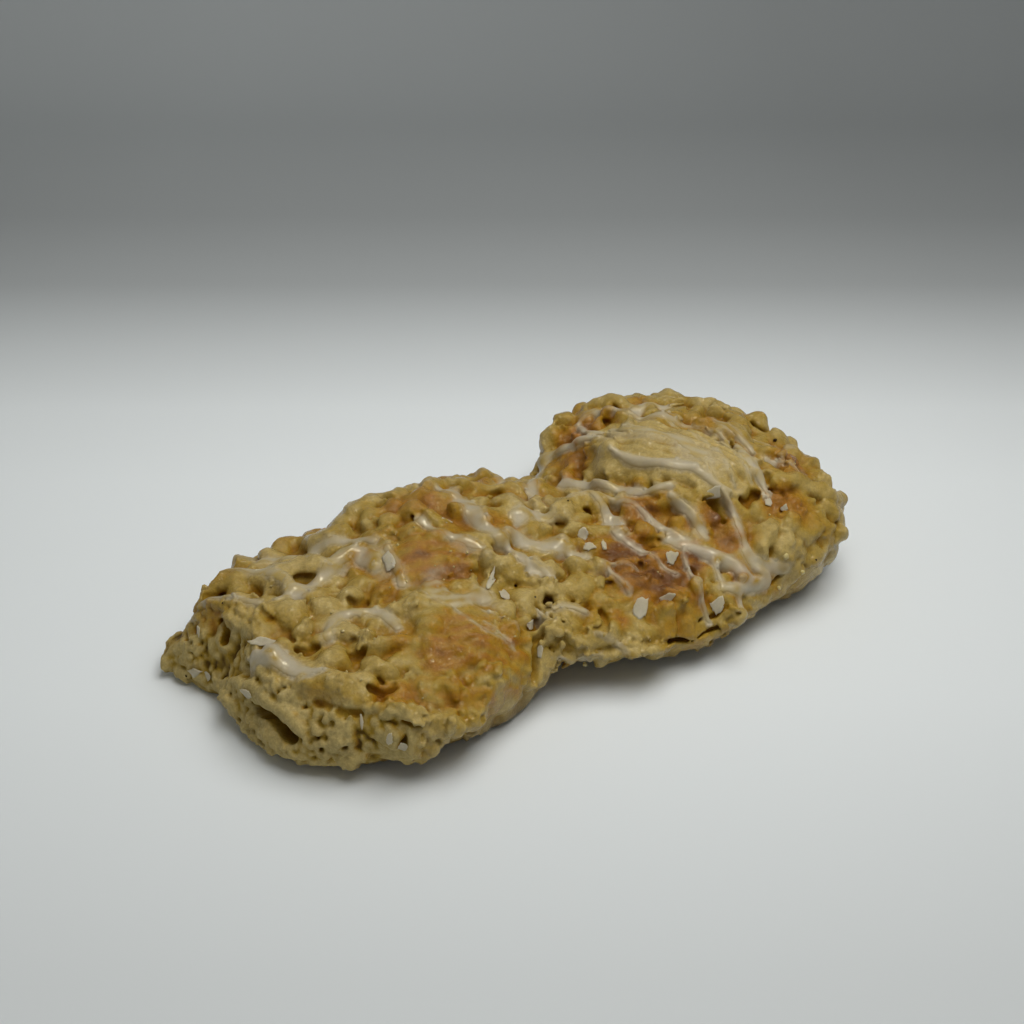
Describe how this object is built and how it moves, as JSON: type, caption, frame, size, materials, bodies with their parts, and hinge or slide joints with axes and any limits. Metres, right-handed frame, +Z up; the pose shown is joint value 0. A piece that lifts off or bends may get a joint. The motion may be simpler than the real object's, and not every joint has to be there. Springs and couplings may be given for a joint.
{
  "type": "streusel danish",
  "caption": "Bar-shaped sweet pastry with streusel crumbs, a golden crust, icing strands and a torn end, lying flat.",
  "frame": {"origin": "middle of the bounding box, on the plane that the pastry lies on", "axes": "+X along the bar from the torn end to the tall end, -Y the near side of the picture, +Z up"},
  "size_m": [0.1494, 0.0852, 0.0298],
  "materials": {
    "crust": "baked, lightly glazed",
    "icing": "translucent sugar icing",
    "flakes": "thin pale flakes",
    "crumbs": "rough loose crumb and sugar"
  },
  "bodies": {
    "root": {"danish": "crust"}
  },
  "joints": []
}
